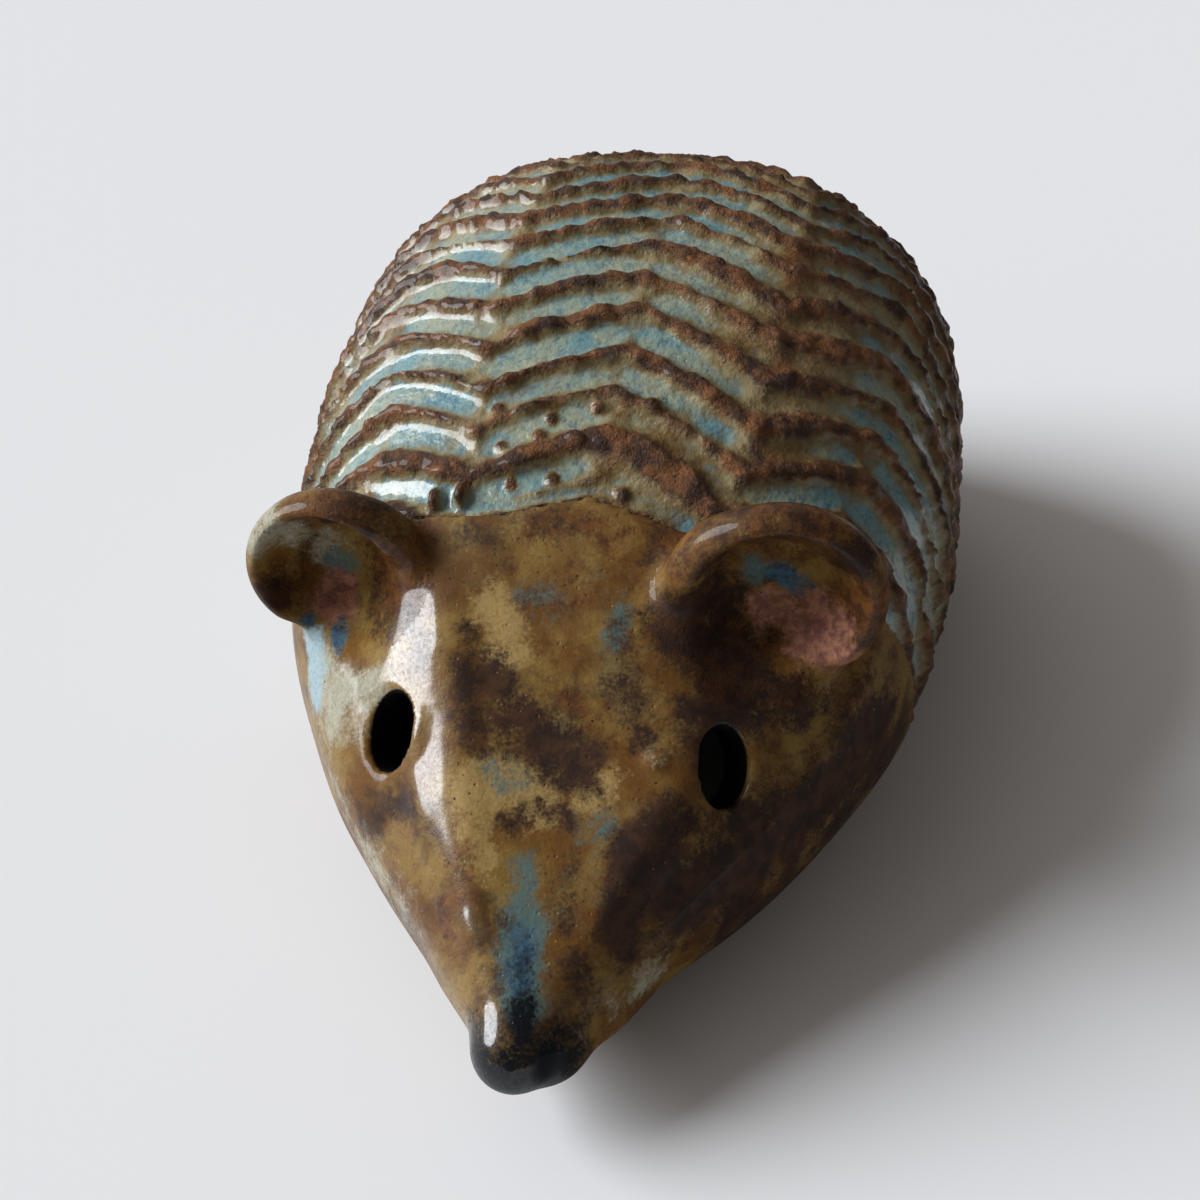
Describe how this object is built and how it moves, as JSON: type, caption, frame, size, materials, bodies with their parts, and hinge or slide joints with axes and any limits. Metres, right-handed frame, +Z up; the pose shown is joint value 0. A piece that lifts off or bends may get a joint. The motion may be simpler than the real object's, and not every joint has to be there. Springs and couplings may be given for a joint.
{
  "type": "hedgehog figurine",
  "caption": "Hollow stoneware hedgehog with a herringbone-carved coat, pierced eyes, cupped ears and a rounded nose, standing on the flat rim of its open underside.",
  "frame": {"origin": "on the ground, under the middle of the figurine's bounding box", "axes": "+Z up; -Y the way the nose points; +X the animal's own left"},
  "size_m": [0.063, 0.1, 0.043],
  "materials": {
    "coat_glaze": "gloss",
    "face_glaze": "gloss",
    "ear_glaze": "gloss",
    "nose_glaze": "gloss"
  },
  "bodies": {
    "root": {"back_shell": "coat_glaze", "face_shell": "face_glaze", "left_ear": "ear_glaze", "right_ear": "ear_glaze", "nose_tip": "nose_glaze"}
  },
  "joints": []
}
